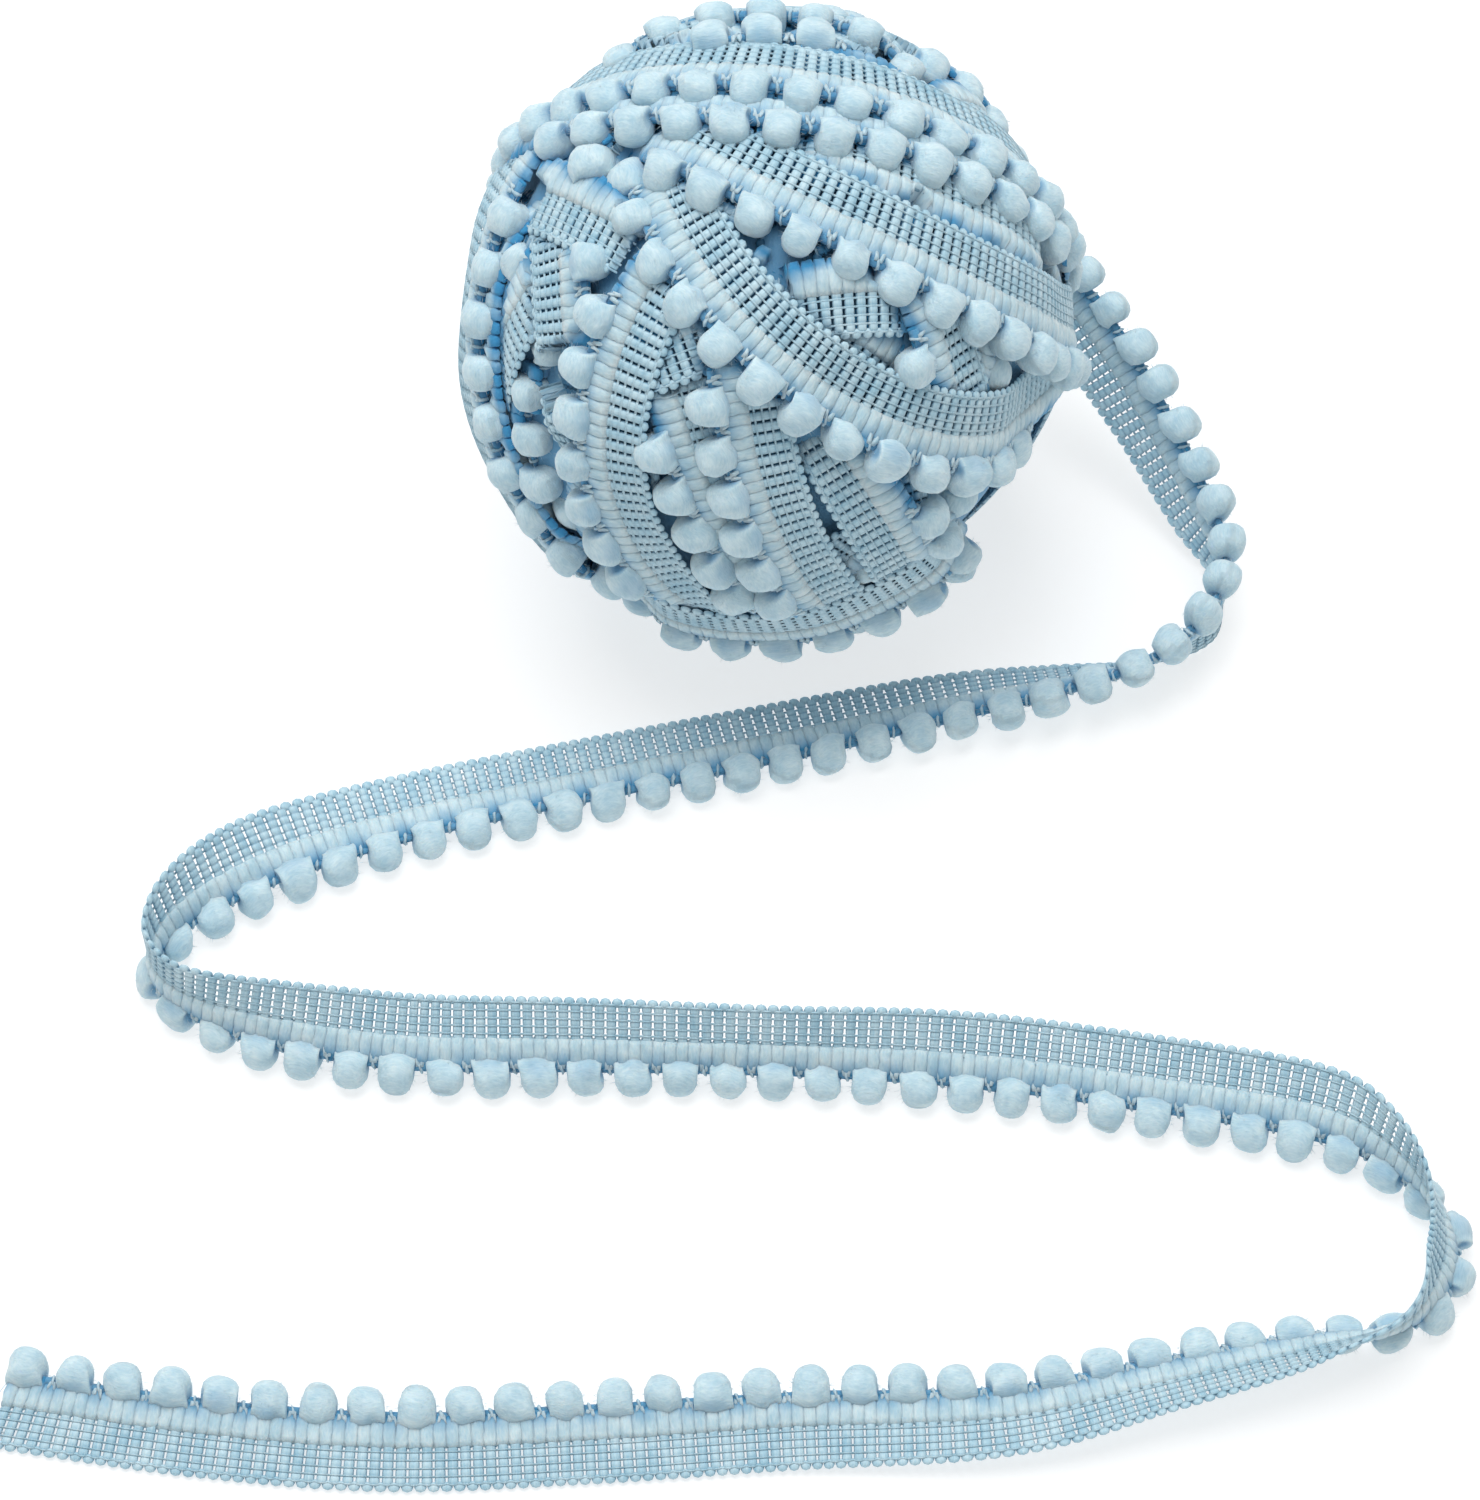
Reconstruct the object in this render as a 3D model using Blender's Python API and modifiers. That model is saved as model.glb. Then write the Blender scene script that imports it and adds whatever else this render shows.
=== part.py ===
"""Pompom fringe trim wound criss-cross into a ball, with a long loose tail snaking in front of it.

The ball is one solid: a core of turns, the outer turns of tape and their rows of pompoms. The tail is
a sheet of tape with its pompom row, a roving of yarn tied at even intervals, in short stretches.
Metres, +Z up. The origin is the middle of the flat spot on which the ball rests.
"""
import math
from collections import namedtuple

import bmesh
import bpy
from mathutils import Matrix, Vector

MM = 0.001

# Trim, as it is sold flat
POMPOM_RADIUS = 2.5 * MM
POMPOM_PITCH = 6.0 * MM
TIE_RADIUS = 0.8 * MM
TAPE_REACH = 10.5 * MM
TAPE_THICKNESS = 1.0 * MM
PIECE_GAP = 0.3 * MM
TAPE_START = POMPOM_RADIUS + PIECE_GAP

# Ball
BALL_CENTRE = Vector((0.0, 0.0, 39.7)) * MM
CORE_RADIUS = 36.4 * MM
CORE_LUMP = 0.15 * MM
CORE_DETAIL = 3
TURN_FOOT_RADIUS = 35.4 * MM
FIRST_TURN_RADIUS = 37.3 * MM
LAYER_STEP = 0.55 * MM
POMPOM_SEAT = 0.6 * MM
TURN_STEPS = 24
FLAT_SPOT_RADIUS = 8.0 * MM
FLAT_SPOT_FLARE = 1.6
FLAT_SPOT_HEIGHT = 5.0 * MM
FLOOR_CLEARANCE = 1.0 * MM
TAIL_ROOT_CLEARANCE = 7.0 * MM
POMPOM_MIN_SPACING = 5.15 * MM
CUTTER_SIZE = 0.2
BALL_LENGTHENING = 1.05

# Tail
TAPE_STEP = 5.0 * MM
ROUTE_SAMPLES = 12
TIE_SHOULDER = 1.55 * MM
SHOULDER_SHARE = 0.78
TUBE_RESOLUTION = 1
FIRST_POMPOM = 15.5 * MM

# Outer turns from the lowest to the topmost. The axis of a turn is given by its longitude and latitude,
# and its pompom row lies at the angle row from that axis. The picot edge lies towards the axis where
# side is -1 and away from it where side is 1. A turn runs from start round to end.
Turn = namedtuple("Turn", "axis_lon axis_lat row side start end layer")
TURNS = (
    Turn(axis_lon=20, axis_lat=-48, row=86, side=1, start=0, end=360, layer=0),
    Turn(axis_lon=140, axis_lat=-20, row=84, side=-1, start=0, end=360, layer=1),
    Turn(axis_lon=69, axis_lat=30, row=96, side=-1, start=80, end=160, layer=1),
    Turn(axis_lon=-7, axis_lat=58, row=97, side=-1, start=80, end=170, layer=1),
    Turn(axis_lon=-58, axis_lat=23, row=67, side=-1, start=110, end=290, layer=2),
    Turn(axis_lon=-81, axis_lat=42, row=73, side=1, start=110, end=230, layer=2),
    Turn(axis_lon=29, axis_lat=19, row=87, side=1, start=150, end=290, layer=1),
    Turn(axis_lon=-14, axis_lat=20, row=78, side=-1, start=130, end=320, layer=2),
    Turn(axis_lon=-90, axis_lat=57, row=91, side=-1, start=0, end=360, layer=3),
    Turn(axis_lon=-96, axis_lat=50, row=74, side=1, start=30, end=140, layer=2),
    Turn(axis_lon=13, axis_lat=55, row=64, side=-1, start=88, end=300, layer=2.6),
    Turn(axis_lon=60, axis_lat=33, row=74, side=-1, start=60, end=330, layer=3.2),
    Turn(axis_lon=82, axis_lat=14, row=76, side=-1, start=0, end=360, layer=3.6),
    Turn(axis_lon=82, axis_lat=13, row=70, side=-1, start=0, end=360, layer=4),
)

# Route of the tail's pompom line in millimetres, from behind the ball to the cut end. The lean turns the
# tape about that line: 0 is flat on the left of the way along, 90 stands up, 180 is flat on the right.
Stop = namedtuple("Stop", "x y z lean")
TAIL_ROUTE = (
    Stop(x=26.4, y=29.8, z=33.0, lean=260),
    Stop(x=35.4, y=26.6, z=30.8, lean=256),
    Stop(x=42.2, y=18.7, z=27.0, lean=240),
    Stop(x=49.2, y=10.5, z=22.0, lean=210),
    Stop(x=55.0, y=2.0, z=16.8, lean=205),
    Stop(x=59.6, y=-7.0, z=12.8, lean=222),
    Stop(x=61.4, y=-15.2, z=11.2, lean=252),
    Stop(x=58.7, y=-24.4, z=11.0, lean=272),
    Stop(x=50.8, y=-32.4, z=9.2, lean=240),
    Stop(x=38.4, y=-36.4, z=6.4, lean=214),
    Stop(x=26.0, y=-38.8, z=4.3, lean=199),
    Stop(x=8.3, y=-43.1, z=2.7, lean=187),
    Stop(x=-15.4, y=-49.0, z=2.5, lean=181),
    Stop(x=-39.2, y=-54.9, z=2.5, lean=177),
    Stop(x=-56.4, y=-60.6, z=2.5, lean=165),
    Stop(x=-67.2, y=-65.7, z=2.5, lean=140),
    Stop(x=-76.0, y=-71.4, z=2.5, lean=108),
    Stop(x=-78.7, y=-77.2, z=2.5, lean=90),
    Stop(x=-74.6, y=-82.6, z=2.5, lean=82),
    Stop(x=-64.6, y=-87.6, z=2.5, lean=60),
    Stop(x=-46.3, y=-91.3, z=2.5, lean=38),
    Stop(x=-22.7, y=-91.6, z=2.5, lean=48),
    Stop(x=1.1, y=-92.1, z=2.5, lean=56),
    Stop(x=25.1, y=-93.9, z=2.5, lean=42),
    Stop(x=49.0, y=-97.6, z=2.5, lean=34),
    Stop(x=66.7, y=-101.0, z=2.5, lean=40),
    Stop(x=77.0, y=-104.8, z=2.5, lean=74),
    Stop(x=84.4, y=-110.8, z=2.5, lean=104),
    Stop(x=86.6, y=-118.0, z=2.5, lean=115),
    Stop(x=83.2, y=-124.6, z=2.5, lean=104),
    Stop(x=76.0, y=-127.8, z=2.5, lean=62),
    Stop(x=64.7, y=-128.0, z=2.5, lean=26),
    Stop(x=46.3, y=-131.2, z=2.5, lean=17),
    Stop(x=28.0, y=-134.6, z=2.5, lean=4),
    Stop(x=2.8, y=-135.2, z=2.6, lean=-8),
    Stop(x=-22.2, y=-136.9, z=2.6, lean=-11),
    Stop(x=-46.4, y=-137.9, z=2.6, lean=-11),
    Stop(x=-69.3, y=-136.0, z=2.6, lean=-11),
    Stop(x=-92.5, y=-132.4, z=2.6, lean=-11),
)
STRETCHES = (8, 6, 11, 10, 6, 11, 11, 3, 4, 14, 12)

YARN_COLOUR = (0.45, 0.68, 0.80, 1.0)
TAPE_COLOUR = (0.50, 0.74, 0.84, 1.0)


def clear_scene():
    """Remove every object, so the model starts from nothing."""
    for item in list(bpy.data.objects):
        bpy.data.objects.remove(item, do_unlink=True)


def make_collection(name):
    """Add a named collection to the scene."""
    group = bpy.data.collections.new(name)
    bpy.context.scene.collection.children.link(group)
    return group


def make_material(name, colour, roughness):
    """Make a Principled material for a soft yarn or tape."""
    material = bpy.data.materials.new(name)
    material.use_nodes = True
    shader = material.node_tree.nodes["Principled BSDF"]
    shader.inputs["Base Color"].default_value = colour
    shader.inputs["Roughness"].default_value = roughness
    shader.inputs["Metallic"].default_value = 0.0
    return material


def object_from_bmesh(name, bm, group, material=None):
    """Turn a bmesh into a named object in a collection."""
    mesh = bpy.data.meshes.new(name)
    bm.to_mesh(mesh)
    bm.free()
    item = bpy.data.objects.new(name, mesh)
    group.objects.link(item)
    if material:
        mesh.materials.append(material)
    return item


def hide_as_cutter(item):
    """Mark a shape that only serves a Boolean."""
    item.hide_render = True
    item.display_type = "WIRE"


class TailRoute:
    """Smooth route of the tail's pompom line, with the lean of its tape, read by distance along it."""

    def __init__(self, stops):
        places = [Vector((s.x, s.y, s.z)) * MM for s in stops]
        leans = [math.radians(s.lean) for s in stops]
        self.places = []
        self.leans = []
        last = len(stops) - 1
        for i in range(last):
            before = max(i - 1, 0)
            after = min(i + 2, last)
            for step in range(ROUTE_SAMPLES):
                t = step / ROUTE_SAMPLES
                self.places.append(self.smooth(places[before], places[i], places[i + 1], places[after], t))
                self.leans.append(self.smooth(leans[before], leans[i], leans[i + 1], leans[after], t))
        self.places.append(places[-1])
        self.leans.append(leans[-1])
        self.distances = [0.0]
        for a, b in zip(self.places, self.places[1:]):
            self.distances.append(self.distances[-1] + (b - a).length)
        self.length = self.distances[-1]

    @staticmethod
    def smooth(a, b, c, d, t):
        """Catmull-Rom blend between b and c."""
        return 0.5 * (2 * b + (c - a) * t + (2 * a - 5 * b + 4 * c - d) * t ** 2
                      + (3 * b - a - 3 * c + d) * t ** 3)

    def at(self, distance):
        """Place and lean at a distance from the start."""
        distance = min(max(distance, 0.0), self.length)
        i = 1
        while self.distances[i] < distance and i < len(self.distances) - 1:
            i += 1
        span = self.distances[i] - self.distances[i - 1]
        share = (distance - self.distances[i - 1]) / span
        place = self.places[i - 1].lerp(self.places[i], share)
        lean = self.leans[i - 1] + (self.leans[i] - self.leans[i - 1]) * share
        return place, lean

    def across(self, distance):
        """Direction from the pompom line to the picot edge at a distance from the start."""
        ahead = self.at(distance + MM)[0]
        behind = self.at(distance - MM)[0]
        way = (ahead - behind).normalized()
        left = Vector((-way.y, way.x, 0.0)).normalized()
        up = way.cross(left)
        lean = self.at(distance)[1]
        return left * math.cos(lean) + up * math.sin(lean)


def make_tail_tape(route, group, material):
    """The tail's tape: one strip drawn along the route, made 1 mm thick."""
    bm = bmesh.new()
    steps = round(route.length / TAPE_STEP)
    edge = None
    for step in range(steps + 1):
        distance = route.length * step / steps
        place = route.at(distance)[0]
        across = route.across(distance)
        if edge is None:
            ends = [bm.verts.new(place), bm.verts.new(place)]
            edge = bm.edges.new(ends)
        else:
            moved = bmesh.ops.extrude_edge_only(bm, edges=[edge])["geom"]
            edge = next(e for e in moved if isinstance(e, bmesh.types.BMEdge))
            ends = list(edge.verts)
            if step > 1:
                ends.sort(key=lambda v: (v.co - picot_before).length, reverse=True)
        ends[0].co = place + across * TAPE_START
        ends[1].co = place + across * TAPE_REACH
        picot_before = ends[1].co.copy()
    bmesh.ops.recalc_face_normals(bm, faces=bm.faces)
    tape = object_from_bmesh("tail_tape", bm, group, material)
    shell = tape.modifiers.new("thickness", "SOLIDIFY")
    shell.thickness = TAPE_THICKNESS
    shell.offset = 0.0
    return tape


def make_tail_pompoms(route, group, material):
    """The tail's pompom row in short stretches, each a roving tied between its pompoms."""
    first = 0
    for number, count in enumerate(STRETCHES, 1):
        start = FIRST_POMPOM + (first - 0.5) * POMPOM_PITCH + PIECE_GAP / 2
        points = [(start, TIE_RADIUS)]
        for index in range(first, first + count):
            middle = FIRST_POMPOM + index * POMPOM_PITCH
            points.append((middle - TIE_SHOULDER, POMPOM_RADIUS * SHOULDER_SHARE))
            points.append((middle, POMPOM_RADIUS))
            points.append((middle + TIE_SHOULDER, POMPOM_RADIUS * SHOULDER_SHARE))
            points.append((middle + POMPOM_PITCH / 2, TIE_RADIUS))
        points[-1] = (points[-1][0] - PIECE_GAP / 2, TIE_RADIUS)
        curve = bpy.data.curves.new(f"tail_pompoms_{number:02d}", "CURVE")
        curve.dimensions = "3D"
        curve.twist_mode = "Z_UP"
        curve.bevel_depth = POMPOM_RADIUS
        curve.bevel_resolution = TUBE_RESOLUTION
        curve.use_fill_caps = True
        curve.render_resolution_u = 0
        spline = curve.splines.new("POLY")
        spline.points.add(len(points) - 1)
        for point, (distance, radius) in zip(spline.points, points):
            place = route.at(distance)[0]
            point.co = (place.x, place.y, place.z, 1.0)
            point.radius = radius / POMPOM_RADIUS
        curve.materials.append(material)
        stretch = bpy.data.objects.new(curve.name, curve)
        group.objects.link(stretch)
        first += count


def turn_frame(turn):
    """Rotation that takes +Z to a turn's axis, with its start meridian level."""
    lon = math.radians(turn.axis_lon)
    lat = math.radians(turn.axis_lat)
    axis = Vector((math.cos(lat) * math.cos(lon), math.cos(lat) * math.sin(lon), math.sin(lat)))
    level = Vector((0.0, 0.0, 1.0)).cross(axis).normalized()
    third = axis.cross(level)
    return Matrix((level, third, axis)).transposed()


def turn_radius(index):
    """Outer radius of a turn's tape, by the layer that it lies in."""
    return FIRST_TURN_RADIUS + LAYER_STEP * TURNS[index].layer


def on_turn(turn, frame, angle, polar, radius):
    """Point of the ball at an angle round a turn and a polar angle from its axis."""
    flat = Vector((math.sin(polar) * math.cos(angle), math.sin(polar) * math.sin(angle), math.cos(polar)))
    return BALL_CENTRE + frame @ (flat * radius)


def make_turn(index, turn, group):
    """One outer turn of tape: its section spun about the turn's axis."""
    frame = turn_frame(turn)
    radius = turn_radius(index)
    row = math.radians(turn.row)
    picot = row + turn.side * TAPE_REACH / radius
    inner = row + turn.side * TIE_RADIUS / radius
    start = math.radians(turn.start)
    sweep = math.radians(turn.end - turn.start)
    whole = turn.end - turn.start == 360
    bm = bmesh.new()
    corners = []
    for polar, distance in ((inner, TURN_FOOT_RADIUS), (inner, radius), (picot, radius), (picot, TURN_FOOT_RADIUS)):
        corners.append(bm.verts.new(on_turn(turn, frame, start, polar, distance)))
    steps = max(4, round(TURN_STEPS * sweep / math.tau))
    axis = frame @ Vector((0.0, 0.0, 1.0))
    if whole:
        geometry = corners + [bm.edges.new((corners[i], corners[i - 1])) for i in range(4)]
    else:
        geometry = [bm.faces.new(corners)]
    bmesh.ops.spin(bm, geom=geometry, cent=BALL_CENTRE, axis=axis, angle=sweep, steps=steps,
                   use_merge=whole, use_duplicate=False)
    bmesh.ops.remove_doubles(bm, verts=bm.verts, dist=0.00001)
    bmesh.ops.recalc_face_normals(bm, faces=bm.faces)
    band = object_from_bmesh(f"turn_{index + 1:02d}", bm, group)
    hide_as_cutter(band)
    return band


def under_turn(place, index, turn):
    """Whether a place on the ball lies beneath a turn's tape."""
    frame = turn_frame(turn)
    local = frame.transposed() @ (place - BALL_CENTRE)
    polar = local.angle(Vector((0.0, 0.0, 1.0)))
    angle = math.degrees(math.atan2(local.y, local.x)) % 360
    inside = turn.start <= angle <= turn.end or turn.start <= angle + 360 <= turn.end
    reach = (polar - math.radians(turn.row)) * turn.side * turn_radius(index)
    return inside and -POMPOM_RADIUS < reach < TAPE_REACH


def pompom_places(route):
    """Places of the ball's pompoms: those not hidden by a later turn, the floor or the tail's root."""
    places = []
    root = [route.at(TAIL_ROOT_CLEARANCE * step)[0] for step in range(4)]
    root += [place + route.across(TAIL_ROOT_CLEARANCE * step) * TAPE_REACH for step, place in enumerate(root)]
    for index in reversed(range(len(TURNS))):
        turn = TURNS[index]
        frame = turn_frame(turn)
        radius = turn_radius(index) - POMPOM_SEAT
        row = math.radians(turn.row)
        sweep = math.radians(turn.end - turn.start)
        count = int(sweep * radius * math.sin(row) / POMPOM_PITCH)
        for step in range(count):
            angle = math.radians(turn.start) + sweep * (step + 0.5) / count
            place = on_turn(turn, frame, angle, row, radius)
            if any(under_turn(place, later, TURNS[later]) for later in range(index + 1, len(TURNS))):
                continue
            if any((place - other).length < POMPOM_MIN_SPACING for other in places):
                continue
            if place.z < POMPOM_RADIUS + FLOOR_CLEARANCE:
                continue
            if any((place - stop).length < TAIL_ROOT_CLEARANCE for stop in root):
                continue
            places.append(place)
    return places


def make_ball_pompoms(places, group):
    """The ball's pompoms as small low balls that stand apart, each turned with its pole outwards."""
    bm = bmesh.new()
    for place in places:
        outwards = (place - BALL_CENTRE).to_track_quat("Z", "Y").to_matrix().to_4x4()
        bmesh.ops.create_icosphere(bm, subdivisions=1, radius=POMPOM_RADIUS,
                                   matrix=Matrix.Translation(place) @ outwards)
    pompoms = object_from_bmesh("ball_pompoms", bm, group)
    hide_as_cutter(pompoms)
    return pompoms


def fill_pockets(item):
    """Apply an object's modifiers and keep only its outer skin, so that no pocket stays sealed inside."""
    depsgraph = bpy.context.evaluated_depsgraph_get()
    mesh = bpy.data.meshes.new_from_object(item.evaluated_get(depsgraph))
    item.modifiers.clear()
    item.data = mesh
    bm = bmesh.new()
    bm.from_mesh(mesh)
    skins = []
    unseen = set(bm.faces)
    while unseen:
        skin = [unseen.pop()]
        for face in skin:
            for edge in face.edges:
                for neighbour in edge.link_faces:
                    if neighbour in unseen:
                        unseen.remove(neighbour)
                        skin.append(neighbour)
        skins.append(skin)
    skins.sort(key=len, reverse=True)
    inner = [face for skin in skins[1:] for face in skin]
    bmesh.ops.delete(bm, geom=inner, context="FACES")
    bm.to_mesh(mesh)
    bm.free()


def make_ball(route, group, turns_group, cutters_group, material):
    """The wound ball: core, turns, pompoms and flat spot joined, cut level at the floor and drawn out in y."""
    bm = bmesh.new()
    bmesh.ops.create_icosphere(bm, subdivisions=CORE_DETAIL, radius=CORE_RADIUS)
    for vert in bm.verts:
        way = vert.co.normalized()
        lump = math.sin(5 * way.x + 1.0) + math.sin(6 * way.y + 2.0) + math.sin(4 * way.z + 3.0)
        vert.co = way * (CORE_RADIUS + CORE_LUMP * lump) + BALL_CENTRE
    ball = object_from_bmesh("wound_ball", bm, group, material)

    for index, turn in enumerate(TURNS):
        make_turn(index, turn, turns_group)
    make_ball_pompoms(pompom_places(route), turns_group)

    bm = bmesh.new()
    middle = Matrix.Translation((0.0, 0.0, FLAT_SPOT_HEIGHT / 2))
    bmesh.ops.create_cone(bm, cap_ends=True, segments=24, radius1=FLAT_SPOT_RADIUS,
                          radius2=FLAT_SPOT_RADIUS * FLAT_SPOT_FLARE, depth=FLAT_SPOT_HEIGHT, matrix=middle)
    hide_as_cutter(object_from_bmesh("pressed_spot", bm, turns_group))

    bm = bmesh.new()
    bmesh.ops.create_cube(bm, size=CUTTER_SIZE, matrix=Matrix.Translation((0.0, 0.0, -CUTTER_SIZE / 2)))
    floor = object_from_bmesh("floor_cutter", bm, cutters_group)
    hide_as_cutter(floor)

    join = ball.modifiers.new("wind_turns_on", "BOOLEAN")
    join.operation = "UNION"
    join.solver = "EXACT"
    join.operand_type = "COLLECTION"
    join.collection = turns_group
    level = ball.modifiers.new("rest_level", "BOOLEAN")
    level.operation = "DIFFERENCE"
    level.solver = "EXACT"
    level.object = floor
    fill_pockets(ball)
    ball.data.transform(Matrix.Scale(BALL_LENGTHENING, 4, (0.0, 1.0, 0.0)))
    return ball


def main():
    """Build the ball and its tail."""
    clear_scene()
    model = make_collection("pompom_fringe_trim")
    turns = make_collection("turns_of_the_ball")
    cutters = make_collection("cutters")
    route = TailRoute(TAIL_ROUTE)
    make_ball(route, model, turns, cutters, make_material("wound_trim", YARN_COLOUR, 0.85))
    make_tail_tape(route, model, make_material("woven_tape", TAPE_COLOUR, 0.6))
    make_tail_pompoms(route, model, make_material("plush_yarn", YARN_COLOUR, 0.9))


main()
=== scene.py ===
import logging
import math
from dataclasses import dataclass, field
from enum import Enum
from functools import partial
from typing import Callable

import bmesh
import bpy
import numpy as np
from mathutils import Matrix, Vector


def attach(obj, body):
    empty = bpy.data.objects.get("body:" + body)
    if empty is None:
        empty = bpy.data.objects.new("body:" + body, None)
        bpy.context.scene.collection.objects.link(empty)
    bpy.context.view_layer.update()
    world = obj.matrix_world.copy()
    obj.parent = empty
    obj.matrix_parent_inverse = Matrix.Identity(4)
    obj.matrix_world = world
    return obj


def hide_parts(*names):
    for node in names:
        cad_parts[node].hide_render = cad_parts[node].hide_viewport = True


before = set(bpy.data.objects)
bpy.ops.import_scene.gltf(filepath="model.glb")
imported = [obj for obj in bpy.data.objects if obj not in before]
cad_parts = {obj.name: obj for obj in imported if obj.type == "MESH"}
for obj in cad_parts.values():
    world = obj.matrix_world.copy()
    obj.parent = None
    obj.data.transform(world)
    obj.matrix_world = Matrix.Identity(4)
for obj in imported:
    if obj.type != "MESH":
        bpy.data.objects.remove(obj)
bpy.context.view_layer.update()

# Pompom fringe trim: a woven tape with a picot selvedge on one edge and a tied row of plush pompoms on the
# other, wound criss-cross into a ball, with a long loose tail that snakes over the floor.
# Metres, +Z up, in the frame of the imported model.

LOG = logging.getLogger("pompom_trim")
MM = 0.001
UP = np.array([0.0, 0.0, 1.0])


class Yarn(Enum):
    """Which yarn a shape is made of: its place among a piece's materials."""

    TAPE = 0
    PLUSH = 1


@dataclass(frozen=True)
class Trim:
    """Sizes of the trim laid flat. Along it is x, from the pompom line to the picot edge is y, up is z."""

    pompom_radius: float = 2.5 * MM
    pitch: float = 6.0 * MM
    bundles: int = 4
    rows: int = 5
    weave_start: float = 4.55 * MM
    weave_end: float = 9.65 * MM
    reach: float = 10.5 * MM
    bundle_half: float = 0.63 * MM
    bundle_pinch: float = 0.52 * MM
    bundle_rise: float = 0.36 * MM
    bundle_dip: float = 0.2 * MM
    bundle_sides: int = 6
    bundle_boxy: float = 0.5
    bundle_root: float = 0.5 * MM
    swell: tuple[float, float] = (0.22, 0.78)
    warp_radius: float = 0.17 * MM
    warp_height: float = 0.26 * MM
    warp_crown: float = 0.03 * MM
    picot_middle: float = 9.85 * MM
    picot_half: float = 0.74 * MM
    picot_rise: float = 0.36 * MM
    pompom_stretch: float = 1.13
    tie_place: float = 1.1 * MM
    fray: tuple[float, float] = (0.5, 1.2)
    loose_thread: float = 0.09 * MM
    loop_flat: float = 0.4
    tie_radius: float = 0.72 * MM
    tie_thread: float = 0.2 * MM

    @property
    def bundle_pitch(self) -> float:
        """Distance from one weft bundle to the next."""
        return self.pitch / self.bundles

    @property
    def row_height(self) -> float:
        """Width of one lengthwise row of the weave."""
        return (self.weave_end - self.weave_start) / self.rows


TRIM = Trim()


@dataclass
class Shape:
    """Triangles with what the materials read: yarn coordinates in metres and a depth from 0 to 1, the share of
    painted shade that darkens the colour.
    """

    verts: np.ndarray
    faces: np.ndarray
    yarn: np.ndarray
    depth: np.ndarray
    finish: Yarn

    @classmethod
    def from_bmesh(cls, bm: bmesh.types.BMesh, finish: Yarn) -> "Shape":
        """Read a bmesh as triangles, with its own places as yarn coordinates.

        Args:
            bm: The shape in flat trim coordinates; it is freed.
            finish: The yarn that the shape is made of.

        Returns:
            The shape, with no painted shade (depth) anywhere.
        """
        bmesh.ops.recalc_face_normals(bm, faces=bm.faces)
        bmesh.ops.triangulate(bm, faces=bm.faces)
        bm.verts.ensure_lookup_table()
        verts = np.array([v.co[:] for v in bm.verts])
        faces = np.array([[v.index for v in f.verts] for f in bm.faces])
        bm.free()
        return cls(verts, faces, verts.copy(), np.zeros(len(verts)), finish)


def without_underside(shape: Shape) -> Shape:
    """Leave out the faces that look down, which nothing shows on the ball.

    Args:
        shape: A closed flat shape.

    Returns:
        The shape's upper shell.
    """
    corners = shape.verts[shape.faces]
    normal = np.cross(corners[:, 1] - corners[:, 0], corners[:, 2] - corners[:, 0])
    keep = normal[:, 2] > -0.6 * np.linalg.norm(normal, axis=1)
    return Shape(shape.verts, shape.faces[keep], shape.yarn, shape.depth, shape.finish)


def join(shapes: list[Shape]) -> Shape:
    """Join shapes of one yarn into one.

    Args:
        shapes: The shapes, all of the same finish.

    Returns:
        One shape that holds them all.
    """
    starts = np.cumsum([0] + [len(s.verts) for s in shapes[:-1]])
    return Shape(
        np.concatenate([s.verts for s in shapes]),
        np.concatenate([s.faces + start for s, start in zip(shapes, starts)]),
        np.concatenate([s.yarn for s in shapes]),
        np.concatenate([s.depth for s in shapes]),
        shapes[0].finish,
    )


def smooth_between(low: float, high: float, value: np.ndarray) -> np.ndarray:
    """Rise smoothly from 0 at low to 1 at high."""
    t = np.clip((value - low) / (high - low), 0.0, 1.0)
    return t * t * (3.0 - 2.0 * t)


def loft(stations: tuple[tuple[float, float, float], ...], segments: int,
         boxy: float = 1.0) -> bmesh.types.BMesh:
    """Draw a ring through stations across the tape, as a closed soft tube.

    Args:
        stations: For each station its place across the tape, its half width and its half height.
        segments: Number of sides of the ring.
        boxy: Power that squares the ring the more, the further it lies below 1.

    Returns:
        The tube, capped at both ends.
    """
    bm = bmesh.new()
    turn = Matrix.Rotation(math.pi / 2, 4, "X") @ Matrix.Rotation(math.pi / segments, 4, "Z")
    bmesh.ops.create_circle(bm, segments=segments, radius=1.0, cap_ends=True, matrix=turn)
    for vert in bm.verts:
        vert.co.x = math.copysign(abs(vert.co.x) ** boxy, vert.co.x)
        vert.co.z = math.copysign(abs(vert.co.z) ** boxy, vert.co.z)
    bmesh.ops.scale(bm, vec=(stations[0][1], 1.0, stations[0][2]), verts=bm.verts)
    bmesh.ops.translate(bm, vec=(0.0, stations[0][0], 0.0), verts=bm.verts)
    ring = list(bm.edges)
    for before, after in zip(stations, stations[1:]):
        made = bmesh.ops.extrude_edge_only(bm, edges=ring)["geom"]
        verts = [g for g in made if isinstance(g, bmesh.types.BMVert)]
        ring = [g for g in made if isinstance(g, bmesh.types.BMEdge) and all(v in verts for v in g.verts)]
        bmesh.ops.scale(bm, vec=(after[1] / before[1], 1.0, after[2] / before[2]), verts=verts)
        bmesh.ops.translate(bm, vec=(0.0, after[0] - before[0], 0.0), verts=verts)
    bmesh.ops.contextual_create(bm, geom=ring)
    return bm


def unit(vectors: np.ndarray) -> np.ndarray:
    """Scale each row of an array of vectors to length 1."""
    return vectors / np.linalg.norm(vectors, axis=-1, keepdims=True)


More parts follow.
